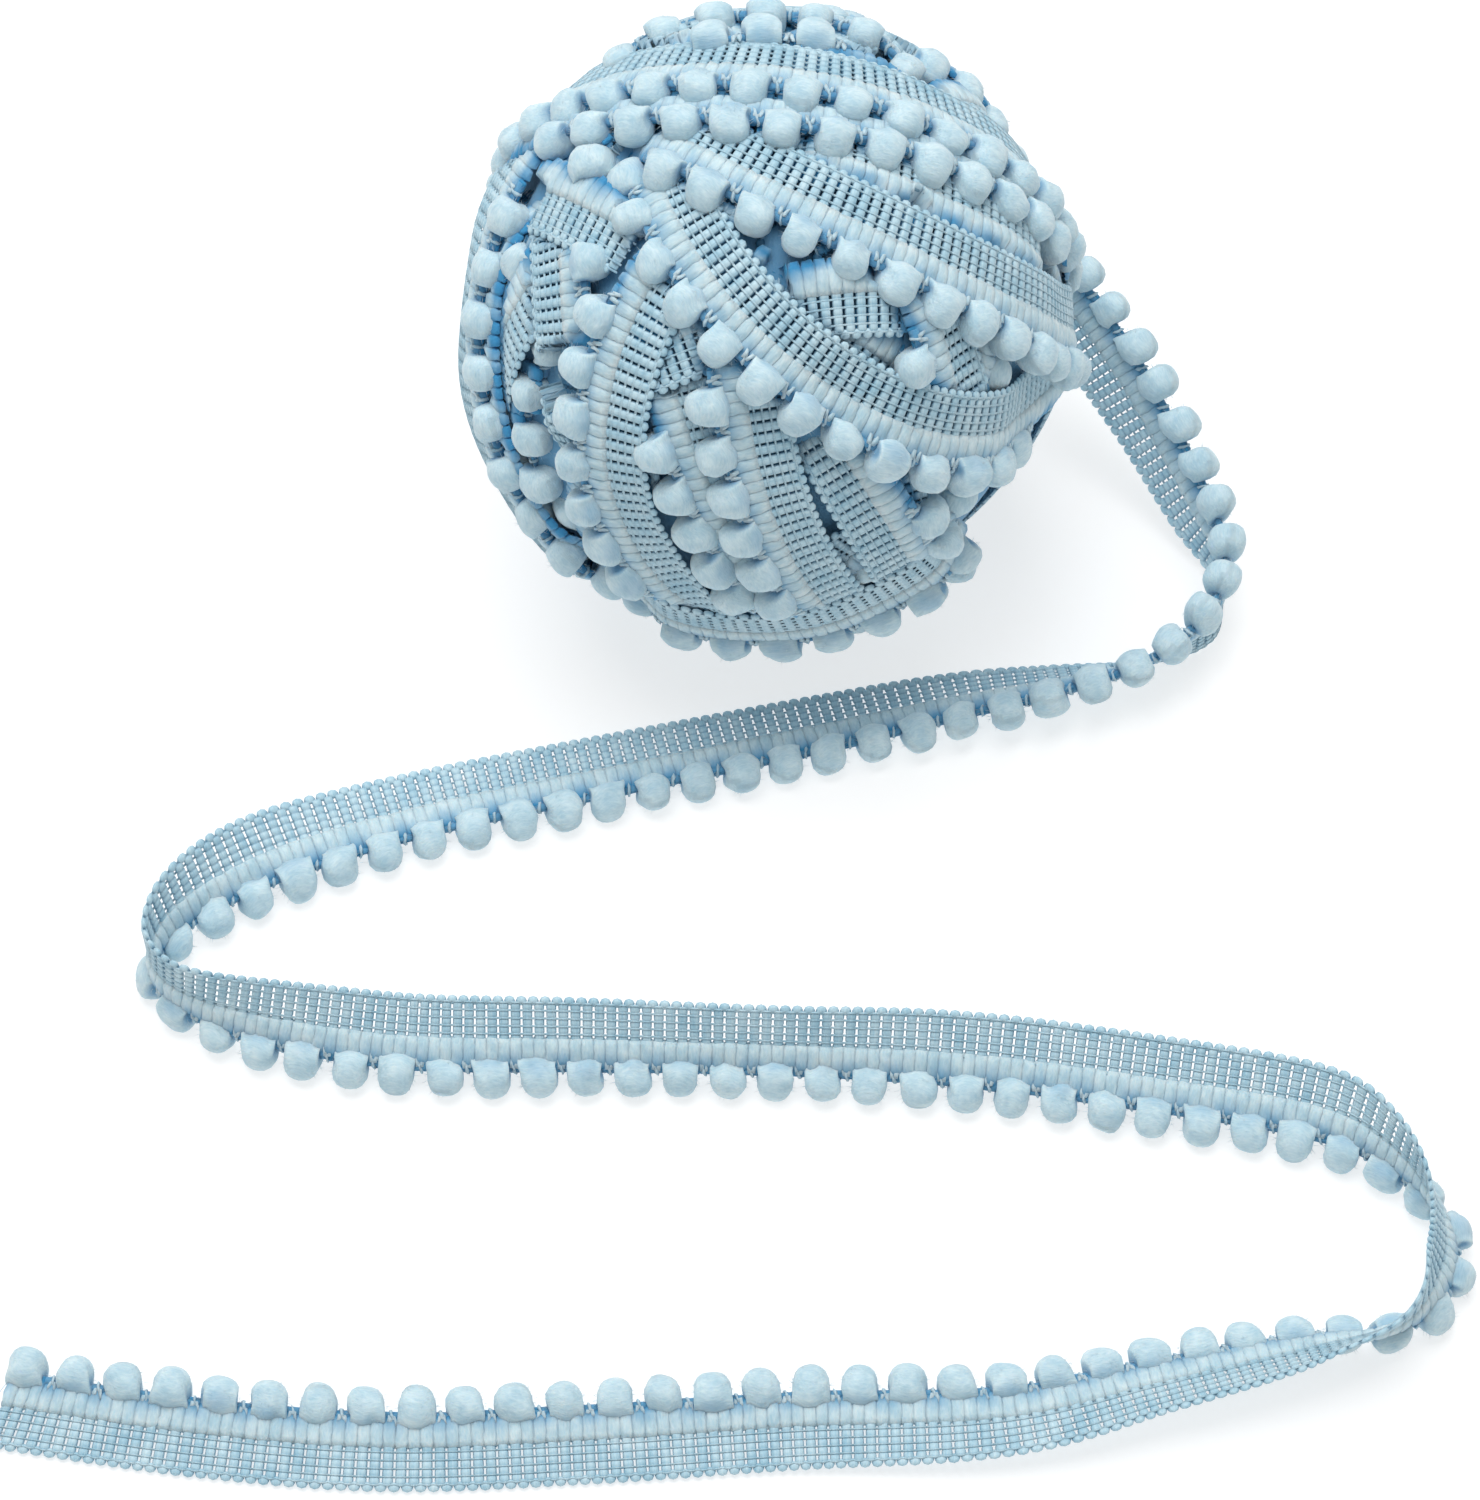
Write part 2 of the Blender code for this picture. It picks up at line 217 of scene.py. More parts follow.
@dataclass
class TrimCell:
    """The small shapes of one pompom's length of trim, modelled flat."""

    trim: Trim = TRIM
    seed: int = 5
    variants: int = 6
    bumps: int = 5
    bump_size: float = 0.035
    lobe_size: float = 0.012
    lobes: int = 9
    pinch: float = 0.2
    hairs: int = 70
    hair_length: tuple[float, float] = (0.5, 1.0)
    hair_radius: float = 0.035 * MM
    hair_root: float = 0.93

    def bundle(self) -> Shape:
        """Weft bundle: a flat soft tube across the tape that swells between the warp threads."""
        t = self.trim
        stations = [(t.weave_start - t.bundle_root, t.bundle_pinch, t.bundle_dip)]
        for row in range(t.rows):
            low = t.weave_start + row * t.row_height
            stations.append((low, t.bundle_pinch, t.bundle_dip))
            for share in t.swell:
                stations.append((low + share * t.row_height, t.bundle_half, t.bundle_rise))
        stations.append((t.weave_end, t.bundle_pinch, t.bundle_dip))
        bm = loft(tuple(stations), t.bundle_sides, t.bundle_boxy)
        shape = Shape.from_bmesh(bm, Yarn.TAPE)
        # Painted shade: darker at the bundle's sides and its low pinched parts, where the slots and grooves lie
        # in shade.
        sideways = np.abs(shape.verts[:, 0]) / t.bundle_half
        shape.depth = 0.5 * smooth_between(0.7, 0.95, sideways)
        low = smooth_between(0.3 * MM, 0.18 * MM, np.abs(shape.verts[:, 2]))
        shape.depth = np.maximum(shape.depth, 0.35 * low)
        return shape

    def warp(self) -> Shape:
        """Warp threads: thin lengthwise threads between the rows, which cut the slots into dashes."""
        t = self.trim
        shapes = []
        for row in range(t.rows + 1):
            y = t.weave_start + row * t.row_height
            bm = bmesh.new()
            turn = Matrix.Rotation(math.pi / 2, 4, "Y")
            bmesh.ops.create_circle(bm, segments=3, radius=t.warp_radius, cap_ends=True, matrix=turn)
            bmesh.ops.translate(bm, vec=(-t.bundle_pitch / 2, y, t.warp_height), verts=bm.verts)
            ring = list(bm.edges)
            heights = (0.0, t.warp_crown, 0.0)
            for before, after in zip(heights, heights[1:]):
                made = bmesh.ops.extrude_edge_only(bm, edges=ring)["geom"]
                verts = [g for g in made if isinstance(g, bmesh.types.BMVert)]
                ring = [g for g in made if isinstance(g, bmesh.types.BMEdge)]
                ring = [e for e in ring if all(v in verts for v in e.verts)]
                bmesh.ops.translate(bm, vec=(t.bundle_pitch / 2, 0.0, after - before), verts=verts)
            bmesh.ops.contextual_create(bm, geom=ring)
            shapes.append(Shape.from_bmesh(bm, Yarn.TAPE))
        shape = join(shapes)
        # Painted shade: a faint even darkening of the warp threads, which lie low between the bundles.
        shape.depth[:] = 0.06
        return shape

    def picot(self) -> Shape:
        """Picot: the weft turning back round the last slot as a small plump loop."""
        t = self.trim
        bm = bmesh.new()
        bmesh.ops.create_uvsphere(bm, u_segments=8, v_segments=5, radius=1.0)
        bmesh.ops.scale(bm, vec=(t.picot_half, t.reach - t.picot_middle, t.picot_rise), verts=bm.verts)
        bmesh.ops.translate(bm, vec=(t.bundle_pitch / 2, t.picot_middle, 0.0), verts=bm.verts)
        shape = Shape.from_bmesh(bm, Yarn.TAPE)
        # Painted shade: darker at the picot's ends, in the notch between loops.
        shape.depth = 0.5 * smooth_between(0.5, 0.95, np.abs(shape.verts[:, 0] / t.bundle_pitch - 0.5) * 2)
        return shape

    def tuft(self) -> Shape:
        """Plush tuft: the soft head of a bundle, between the weave and the pompoms."""
        stations = ((0.6, 0.6, 0.3), (1.3, 0.8, 0.55), (2.2, 0.92, 0.76), (3.3, 0.96, 0.8), (4.3, 0.92, 0.7),
                    (5.0, 0.8, 0.42))
        bm = loft(tuple((y * MM, half * MM, rise * MM) for y, half, rise in stations), 8, 0.58)
        shape = Shape.from_bmesh(bm, Yarn.PLUSH)
        # Painted shade: dark towards the pompoms, where the band lies in their shade, and a little at its sides.
        shape.depth = 0.7 * smooth_between(2.4 * MM, 1.4 * MM, shape.verts[:, 1])
        shape.depth += 0.12 * smooth_between(0.6 * MM, 0.9 * MM, np.abs(shape.verts[:, 0]))
        return shape

    def tie(self) -> Shape:
        """Tie: the pinched roving between two pompoms, bound with thread that is stitched to the tape."""
        t = self.trim
        bm = bmesh.new()
        across = Matrix.Rotation(math.pi / 2, 4, "Y")
        bmesh.ops.create_cone(bm, cap_ends=True, segments=8, radius1=t.tie_radius * 0.8,
                              radius2=t.tie_radius * 0.8, depth=2.2 * MM, matrix=across)
        core = Shape.from_bmesh(bm, Yarn.PLUSH)
        # Painted shade: the core is painted nearly fully dark as it lies in shade between the pompoms; its
        # thread and stitches get a little.
        core.depth[:] = 0.85
        bm = bmesh.new()
        ring = bmesh.ops.create_circle(bm, segments=4, radius=t.tie_thread)["verts"]
        bmesh.ops.translate(bm, vec=(t.tie_radius, 0.0, 0.0), verts=ring)
        bmesh.ops.spin(bm, geom=list(bm.edges) + list(bm.verts), cent=(0.0, 0.0, 0.0), axis=(0.0, 1.0, 0.0),
                       angle=math.tau, steps=9, use_merge=True)
        slant = Matrix.Rotation(math.pi / 2 + 0.3, 3, "Z")
        bmesh.ops.rotate(bm, cent=(0.0, 0.0, 0.0), matrix=slant, verts=bm.verts)
        thread = Shape.from_bmesh(bm, Yarn.PLUSH)
        thread.depth[:] = 0.15
        shapes = [core, thread]
        for side in (-1, 1):
            stations = ((0.1, 0.34, 0.34), (0.7, 0.32, 0.32), (1.3, 0.2, 0.2))
            bm = loft(tuple((y * MM, half * MM, rise * MM) for y, half, rise in stations), 4)
            stitch = Shape.from_bmesh(bm, Yarn.PLUSH)
            out = stitch.verts[:, 1] / (1.3 * MM)
            stitch.verts[:, 0] += side * (0.2 + 0.25 * out) * MM
            stitch.verts[:, 2] += (0.5 - 0.1 * out) * MM
            stitch.depth[:] = 0.1
            shapes.append(stitch)
        tie = join(shapes)
        tie.verts[:, 1] += t.tie_place
        return tie

    def pompom(self, variant: int) -> Shape:
        """Pompom: a round puff of yarn whose fibres run between its two tied ends.

        Args:
            variant: Number of the variant, which sets its small bumps.

        Returns:
            The pompom about its own middle.
        """
        t = self.trim
        rng = np.random.default_rng(self.seed + variant)
        bm = bmesh.new()
        turn = Matrix.Rotation(math.pi / 2, 4, "Y")
        bmesh.ops.create_uvsphere(bm, u_segments=20, v_segments=14, radius=t.pompom_radius, matrix=turn)
        shape = Shape.from_bmesh(bm, Yarn.PLUSH)
        way = unit(shape.verts)
        swell = np.zeros(len(way))
        for _ in range(self.bumps):
            wave = rng.normal(size=3) * 2.4
            swell += self.bump_size * np.sin(way @ wave + rng.uniform(0.0, math.tau))
        around = np.arctan2(way[:, 2], way[:, 1])
        swell += self.lobe_size * np.sin(around * self.lobes + rng.uniform(0.0, math.tau)) * (1 - way[:, 0] ** 2)
        axial = np.abs(way[:, 0])
        swell -= self.pinch * smooth_between(0.74, 1.0, axial)
        shape.verts = shape.verts * (1.0 + swell)[:, None] * np.array([t.pompom_stretch, 1.05, 1.0])
        shape.verts[:, 1] += t.tie_place * smooth_between(0.5, 1.0, axial)
        shape.yarn = np.stack([around * t.pompom_radius * np.sqrt(1 - 0.8 * way[:, 0] ** 2),
                               shape.verts[:, 0], shape.verts[:, 2]], axis=1)
        # Painted shade: dark at the tied ends and a little on the side towards the tape.
        shape.depth = 0.75 * smooth_between(0.82, 1.0, axial)
        shape.depth = np.maximum(shape.depth, 0.3 * smooth_between(0.65, 1.0, way[:, 1]))
        return join([shape, self.hair(shape, rng)])

    def hair(self, body: Shape, rng: np.random.Generator) -> Shape:
        """Fine yarn ends that stand off a pompom, each a thin three-sided spike.

        Args:
            body: The pompom that they stand on; not used.
            rng: Seeded source of chance.

        Returns:
            All the spikes as one shape.
        """
        bm = bmesh.new()
        for _ in range(self.hairs):
            way = Vector(rng.normal(size=3)).normalized()
            lean = (way + Vector(rng.normal(size=3)) * 0.35).normalized()
            length = rng.uniform(*self.hair_length) * MM
            foot = way * self.trim.pompom_radius * self.hair_root
            turn = lean.to_track_quat("Z", "Y").to_matrix().to_4x4()
            place = Matrix.Translation(foot + lean * length / 2) @ turn
            bmesh.ops.create_cone(bm, cap_ends=False, segments=3, radius1=self.hair_radius, radius2=0.0,
                                  depth=length, matrix=place)
        bmesh.ops.remove_doubles(bm, verts=bm.verts, dist=0.000001)
        shape = Shape.from_bmesh(bm, Yarn.PLUSH)
        shape.depth[:] = 0.0
        return shape


@dataclass(frozen=True)
class Stop:
    """One stop of the tail's pompom line, in millimetres, with the lean of the tape in degrees."""

    x: float
    y: float
    z: float
    lean: float


@dataclass
class TailLay:
    """How the loose tail lies: a smooth route for its pompom line, and the lean of its tape about it."""

    stops: tuple[Stop, ...]
    samples: int = 16
    first_pompom: float = 15.5 * MM
    pompoms: int = 96
    cut_zone: float = 12.0 * MM
    cut_skew: float = 0.16
    cut_pivot: float = 5.0 * MM

    def __post_init__(self) -> None:
        """Draw the smooth route through the stops."""
        data = np.array([[s.x * MM, s.y * MM, s.z * MM, math.radians(s.lean)] for s in self.stops])
        line = []
        last = len(data) - 1
        for i in range(last):
            a, b, c, d = data[max(i - 1, 0)], data[i], data[i + 1], data[min(i + 2, last)]
            for step in range(self.samples):
                t = step / self.samples
                line.append(0.5 * (2 * b + (c - a) * t + (2 * a - 5 * b + 4 * c - d) * t ** 2
                                   + (3 * b - a - 3 * c + d) * t ** 3))
        line.append(data[-1])
        line = np.array(line)
        self.places = line[:, :3]
        steps = np.linalg.norm(np.diff(self.places, axis=0), axis=1)
        self.distances = np.concatenate([[0.0], np.cumsum(steps)])
        self.length = float(self.distances[-1])
        way = unit(np.gradient(self.places, self.distances, axis=0))
        left = unit(np.stack([-way[:, 1], way[:, 0], np.zeros(len(way))], axis=1))
        up = np.cross(way, left)
        lean = line[:, 3:]
        self.across = left * np.cos(lean) + up * np.sin(lean)
        self.facing = np.cross(way, self.across)

    def read(self, table: np.ndarray, distance: np.ndarray) -> np.ndarray:
        """Read one of the route's tables at distances along it."""
        return np.stack([np.interp(distance, self.distances, table[:, i]) for i in range(3)], axis=-1)

    def lay(self, points: np.ndarray) -> np.ndarray:
        """Take points from the flat trim to where the tail lies."""
        near_end = smooth_between(self.length - self.cut_zone, self.length, points[:, 0])
        along = points[:, 0] + self.cut_skew * near_end * (points[:, 1] - self.cut_pivot)
        place = self.read(self.places, along)
        beyond = np.clip(along - self.length, 0.0, None) + np.clip(along, None, 0.0)
        way = unit(np.cross(self.read(self.across, along), self.read(self.facing, along)))
        return (place + way * beyond[:, None] + self.read(self.across, along) * points[:, 1:2]
                + self.read(self.facing, along) * points[:, 2:3])

    def frames(self, along: np.ndarray, lift: float) -> tuple[np.ndarray, np.ndarray]:
        """Rigid frames for whole pompoms.

        Args:
            along: Distances of their middles along the route.
            lift: Height of their middles over the tape's plane.

        Returns:
            Their places, and their axes as rows of 3 by 3 arrays.
        """
        across = self.read(self.across, along)
        facing = unit(self.read(self.facing, along))
        way = unit(np.cross(across, facing))
        across = np.cross(facing, way)
        return self.read(self.places, along) + facing * lift, np.stack([way, across, facing], axis=1)


@dataclass
class Turn:
    """One turn of the ball, in degrees and millimetres.

    Its row of pompoms lies at the angle row from its axis, and its picot edge lies towards the axis where side
    is -1. Lift raises the whole turn, and tilt raises its row of pompoms over its picot edge. A filler is a turn
    of the ball's lower layer, whose pompoms are pressed in. Bare is the angle before its end where its pompoms
    are turned under.
    """

    axis_lon: float
    axis_lat: float
    row: float
    side: int
    start: float = 0.0
    end: float = 360.0
    lift: float = 0.0
    tilt: float = 0.0
    filler: bool = False
    bare: float = 0.0
    reference: float = 39.0 * MM
    tension: float = 1.07
    grid_step: float = 2.5 * MM
    across_places: int = 7

    def __post_init__(self) -> None:
        """Work out the turn's axes and its length."""
        lon = math.radians(self.axis_lon)
        lat = math.radians(self.axis_lat)
        axis = np.array([math.cos(lat) * math.cos(lon), math.cos(lat) * math.sin(lon), math.sin(lat)])
        level = unit(np.cross(UP, axis))
        self.axes = np.stack([level, np.cross(axis, level), axis])
        self.round_radius = self.reference * math.sin(math.radians(self.row))
        self.whole = self.end - self.start >= 360.0
        self.length = math.radians(self.end - self.start) * self.round_radius
        count = self.length / (TRIM.pitch * self.tension)
        self.pompoms = round(count) if self.whole else int(count)
        self.stretch = self.length / (self.pompoms * TRIM.pitch) if self.whole else self.tension
        steps = int(self.length / self.grid_step) + 1
        self.grid_along = np.linspace(0.0, self.length, steps)
        self.grid_across = np.linspace(-2.5 * MM, TRIM.reach + 0.5 * MM, self.across_places)
        self.heights = np.full((steps, self.across_places), self.reference)

    def direction(self, along: np.ndarray, across: np.ndarray) -> np.ndarray:
        """Direction from the ball's middle to places on the turn."""
        angle = math.radians(self.start) + along / self.round_radius
        polar = math.radians(self.row) + self.side * across / self.reference
        flat = np.stack([np.sin(polar) * np.cos(angle), np.sin(polar) * np.sin(angle), np.cos(polar)], axis=-1)
        return flat @ self.axes

    def locate(self, way: np.ndarray) -> tuple[np.ndarray, np.ndarray]:
        """Places on the turn, along and across, of directions from the ball's middle."""
        local = way @ self.axes.T
        polar = np.arccos(np.clip(local[..., 2], -1.0, 1.0))
        angle = np.degrees(np.arctan2(local[..., 1], local[..., 0]))
        angle = (angle - self.start) % 360.0
        if not self.whole:
            over = (360.0 - (self.end - self.start)) / 2
            angle = np.where(angle > 360.0 - over, angle - 360.0, angle)
        along = np.radians(angle) * self.round_radius
        across = (polar - math.radians(self.row)) * self.side * self.reference
        return along, across

    def height(self, along: np.ndarray, across: np.ndarray) -> np.ndarray:
        """Radius at which the tape lies."""
        i = np.clip(along / self.length * (len(self.grid_along) - 1), 0, len(self.grid_along) - 1.001)
        span = self.grid_across[-1] - self.grid_across[0]
        j = (across - self.grid_across[0]) / span * (self.across_places - 1)
        j = np.clip(j, 0, self.across_places - 1.001)
        i0 = i.astype(int)
        j0 = j.astype(int)
        fi = i - i0
        fj = j - j0
        h = self.heights
        low = h[i0, j0] * (1 - fj) + h[i0, j0 + 1] * fj
        high = h[i0 + 1, j0] * (1 - fj) + h[i0 + 1, j0 + 1] * fj
        return low * (1 - fi) + high * fi

    def inside(self, way: np.ndarray, margin: float = 0.0) -> np.ndarray:
        """Whether directions fall on the turn, margin inside its edges."""
        along, across = self.locate(way)
        on = (across > -0.6 * MM + margin) & (across < TRIM.reach - margin)
        if not self.whole:
            on &= (along > margin) & (along < self.length - margin)
        return on


@dataclass
class WoundBall:
    """The ball: its turns in the order in which they were wound, each lying on those before it."""

    turns: tuple[Turn, ...]
    middle: tuple[float, float, float] = (0.0, 0.0, 39.7 * MM)
    proportions: tuple[float, float, float] = (1.0, 1.05, 1.0)
    heart_radius: float = 35.5 * MM
    heart_below: float = 3.2 * MM
    # Painted shade that darkens the whole heart.
    heart_painted_shade: float = 0.8
    core_radius: float = 36.8 * MM
    layer: float = 0.4 * MM
    ridge: float = 1.3 * MM
    top: float = 39.6 * MM
    dive: float = 3.0 * MM
    dive_length: float = 9.0 * MM
    floor: float = 0.25 * MM
    pressed: float = 0.35 * MM

    def __post_init__(self) -> None:
        """Wind the turns on, one after another."""
        self.centre = np.array(self.middle)
        self.shape = np.array(self.proportions)
        for number, turn in enumerate(self.turns):
            self.wind(number, turn)

    def surface(self, way: np.ndarray, count: int) -> np.ndarray:
        """Radius of the ball in given directions, once the first count turns are on."""
        radius = np.full(way.shape[:-1], self.core_radius)
        for turn in self.turns[:count]:
            along, across = turn.locate(way)
            edge = 1.2 * MM
            cover = smooth_between(-2.6 * MM - edge, -2.2 * MM, across)
            cover *= smooth_between(TRIM.reach + edge, TRIM.reach - 0.3 * MM, across)
            if not turn.whole:
                cover *= smooth_between(-edge, edge, along)
                cover *= smooth_between(turn.length + edge, turn.length - edge, along)
            puff = np.clip(1.0 - (across / (2.7 * MM)) ** 2, 0.0, 1.0)
            lying = turn.height(along, across) + self.layer * 0.5 + self.ridge * puff
            radius = np.where(cover > 0, np.maximum(radius, lying - (1 - cover) * 2.0 * MM), radius)
        return radius

    def wind(self, number: int, turn: Turn) -> None:
        """Lay one turn on those before it: over their tops, smoothly, and not into their gaps."""
        along, across = np.meshgrid(turn.grid_along, turn.grid_across, indexing="ij")
        ground = self.surface(turn.direction(along, across), number)
        rounds = "wrap" if turn.whole else "edge"
        padded = np.pad(ground, ((3, 3), (1, 1)), mode="edge")
        padded[:, 1:-1] = np.pad(ground, ((3, 3), (0, 0)), mode=rounds)
        widest = padded.copy()
        for di in (-1, 0, 1):
            widest[1:-1, 1:-1] = np.maximum(widest[1:-1, 1:-1], padded[1 + di:len(padded) - 1 + di, 1:-1])
        kernel = np.array([0.08, 0.24, 0.36, 0.24, 0.08])
        blurred = np.zeros((len(ground), ground.shape[1]))
        for k, weight in enumerate(kernel):
            blurred += weight * widest[k + 1:k + 1 + len(ground), 1:-1]
        mean = blurred.mean(axis=1, keepdims=True)
        blurred = 0.45 * blurred + 0.55 * np.maximum(mean, blurred - 0.4 * MM)
        heights = blurred + self.layer
        heights = np.where(heights > self.top - 1.0 * MM,
                           self.top - 1.0 * MM * np.exp(-(heights - self.top + 1.0 * MM) / MM), heights)
        if not turn.whole:
            near = np.minimum(turn.grid_along, turn.length - turn.grid_along)
            heights = heights - self.dive * smooth_between(self.dive_length, 0.0, near)[:, None]
        share = np.clip(turn.grid_across / TRIM.reach, 0.0, 1.0)
        turn.heights = heights + (turn.lift + turn.tilt * (1.0 - share)) * MM

    def lay(self, number: int, points: np.ndarray) -> np.ndarray:
        """Take points from the flat trim to where a turn lies on the ball, pressed flat beneath later turns."""
        way, radius = self.wrapped(self.turns[number], points)
        for later in self.turns[number + 1:]:
            over = later.inside(way, -0.2 * MM)
            along, across = later.locate(way[over])
            radius[over] = np.minimum(radius[over], later.height(along, across) - self.pressed)
        return self.above_floor(way, radius)

    def stand(self, turn: Turn, points: np.ndarray) -> np.ndarray:
        """Take points from the flat trim to a turn on the ball, and let them stand up past later turns."""
        return self.above_floor(*self.wrapped(turn, points))

    def wrapped(self, turn: Turn, points: np.ndarray) -> tuple[np.ndarray, np.ndarray]:
        """Directions and radii at which flat points of a turn lie."""
        along = points[:, 0] * turn.stretch
        radius = turn.height(along, points[:, 1]) + points[:, 2]
        return turn.direction(along, points[:, 1]), radius

    def above_floor(self, way: np.ndarray, radius: np.ndarray) -> np.ndarray:
        """Places of directions and radii from the ball's middle, kept off the floor."""
        placed = self.centre + way * radius[:, None] * self.shape
        placed[:, 2] = np.maximum(placed[:, 2], self.floor)
        return placed

    def covered(self, number: int, way: np.ndarray, margin: float) -> np.ndarray:
        """Whether directions lie beneath a later turn."""
        hidden = np.zeros(way.shape[:-1], dtype=bool)
        for turn in self.turns[number + 1:]:
            hidden |= turn.inside(way, margin)
        return hidden

    def painted_shade(self, number: int, points: np.ndarray) -> np.ndarray:
        """Painted shade of flat points of a turn under later turns, less just beside their edges, from 0 to 1.
        """
        turn = self.turns[number]
        way = turn.direction(points[:, 0] * turn.stretch, points[:, 1])
        near = self.covered(number, way, -0.7 * MM)
        return 0.3 * near + 0.65 * self.covered(number, way, 0.4 * MM)


# The tail's route from the ball to its cut end: x, y, z and the tape's lean.
TAIL_STOPS = (
    Stop(26.4, 29.8, 33.0, 260),
    Stop(35.4, 26.6, 30.8, 256),
    Stop(42.2, 18.7, 27.0, 240),
    Stop(49.2, 10.5, 22.0, 230),
    Stop(54.8, 2.0, 16.8, 238),
    Stop(59.2, -7.0, 12.8, 246),
    Stop(61.2, -15.2, 11.2, 264),
    Stop(58.7, -24.4, 11.0, 272),
    Stop(50.8, -32.4, 9.2, 240),
    Stop(38.4, -36.4, 6.4, 214),
    Stop(26.0, -38.8, 4.3, 199),
    Stop(8.3, -43.1, 2.7, 187),
    Stop(-15.4, -49.0, 2.5, 181),
    Stop(-39.2, -54.9, 2.5, 177),
    Stop(-56.4, -60.6, 2.5, 165),
    Stop(-67.2, -65.7, 2.5, 140),
    Stop(-76.0, -71.4, 2.5, 108),
    Stop(-78.7, -77.2, 2.5, 90),
    Stop(-74.6, -82.6, 2.5, 82),
    Stop(-64.6, -87.6, 2.5, 60),
    Stop(-46.3, -91.3, 2.5, 38),
    Stop(-22.7, -91.6, 2.5, 48),
    Stop(1.1, -92.1, 2.5, 56),
    Stop(25.1, -93.9, 2.5, 42),
    Stop(49.0, -97.6, 2.5, 34),
    Stop(66.7, -101.0, 2.5, 40),
    Stop(76.4, -104.8, 2.5, 74),
    Stop(83.2, -110.8, 2.5, 104),
    Stop(85.2, -118.0, 2.5, 115),
    Stop(82.4, -124.4, 2.5, 108),
    Stop(75.6, -127.8, 2.5, 72),
    Stop(64.7, -128.0, 2.5, 42),
    Stop(46.3, -131.2, 2.5, 24),
    Stop(28.0, -134.6, 2.5, 7),
    Stop(2.8, -135.2, 2.6, -8),
    Stop(-22.2, -136.9, 2.6, -11),
    Stop(-46.4, -137.9, 2.6, -11),
    Stop(-69.3, -136.0, 2.6, -11),
    Stop(-92.5, -132.4, 2.6, -11),
)

# The turns from the lowest to the topmost: longitude and latitude of the axis, and the row's angle from it.
BALL_TURNS = (
    Turn(20, -48, 86, side=1, filler=True),
    Turn(-48, 4, 86, side=-1, filler=True),
    Turn(140, -20, 84, side=-1, filler=True),
    Turn(-105, -20, 95, side=1, filler=True),
    Turn(-60, 30, 80, side=1, filler=True),
    Turn(-30, 5, 97, side=-1, filler=True),
    Turn(30, 0, 80, side=1, filler=True),
    Turn(-80, 8, 84, side=-1, filler=True),
    Turn(56, 27, 82, side=1, start=70, end=140),
    Turn(77, 16, 84, side=-1, start=90, end=165),
    Turn(176, -24, 84, side=1, start=-30, end=70),
    Turn(-79, -8, 72.5, side=-1, start=50, end=125),
    Turn(178, -9, 65, side=-1, start=20, end=100),
    Turn(-131, -12, 78.4, side=-1, start=80, end=150),
    Turn(-74, -20, 84.5, side=-1, start=95, end=150),
    Turn(-142, 8, 83.5, side=1, start=5, end=65),
    Turn(-81, 42, 67, side=1, start=140, end=225, bare=85),
    Turn(-58, 23, 67.4, side=-1, start=115, end=290),
    Turn(-81, 42, 73, side=1, start=85, end=235, lift=1.6, tilt=-1.4),
    Turn(29, 19, 85.5, side=1, start=140, end=260),
    Turn(-14, 20, 78.4, side=-1, start=120, end=240),
    Turn(-109, 55, 86, side=-1, start=-104, end=-26, lift=-0.4, tilt=1.0),
    Turn(90, -18, 82.3, side=1, start=46, end=125),
    Turn(-96, 50, 74.1, side=1, start=60, end=132),
    Turn(13, 55, 63.8, side=-1, start=84, end=300, bare=78),
    Turn(60, 33, 74, side=-1, start=62, end=330),
    Turn(82, 16, 75, side=-1),
    Turn(82, 12, 70.7, side=-1),
)


def colour(hex_code: str) -> tuple[float, float, float, float]:
    """Turn an sRGB hex colour into a linear one.

    Args:
        hex_code: Six hex digits after a hash sign.

    Returns:
        Linear red, green, blue and an alpha of 1.
    """
    parts = [int(hex_code[i:i + 2], 16) / 255 for i in (1, 3, 5)]
    linear = [p / 12.92 if p <= 0.04045 else ((p + 0.055) / 1.055) ** 2.4 for p in parts]
    return (*linear, 1.0)


def add_node(tree: bpy.types.NodeTree, kind: str, settings: dict | None = None,
             links: dict | None = None) -> bpy.types.Node:
    """Add a node, set its values and link its inputs.

    Args:
        tree: The node tree.
        kind: The node's type name.
        settings: Properties by name, or input values by the input's name or number.
        links: Output sockets by the name or number of the input that they feed.

    Returns:
        The new node.
    """
    node = tree.nodes.new(kind)
    for name, value in (settings or {}).items():
        if isinstance(name, str) and hasattr(node, name):
            setattr(node, name, value)
        else:
            node.inputs[name].default_value = value
    for name, socket in (links or {}).items():
        tree.links.new(socket, node.inputs[name])
    return node


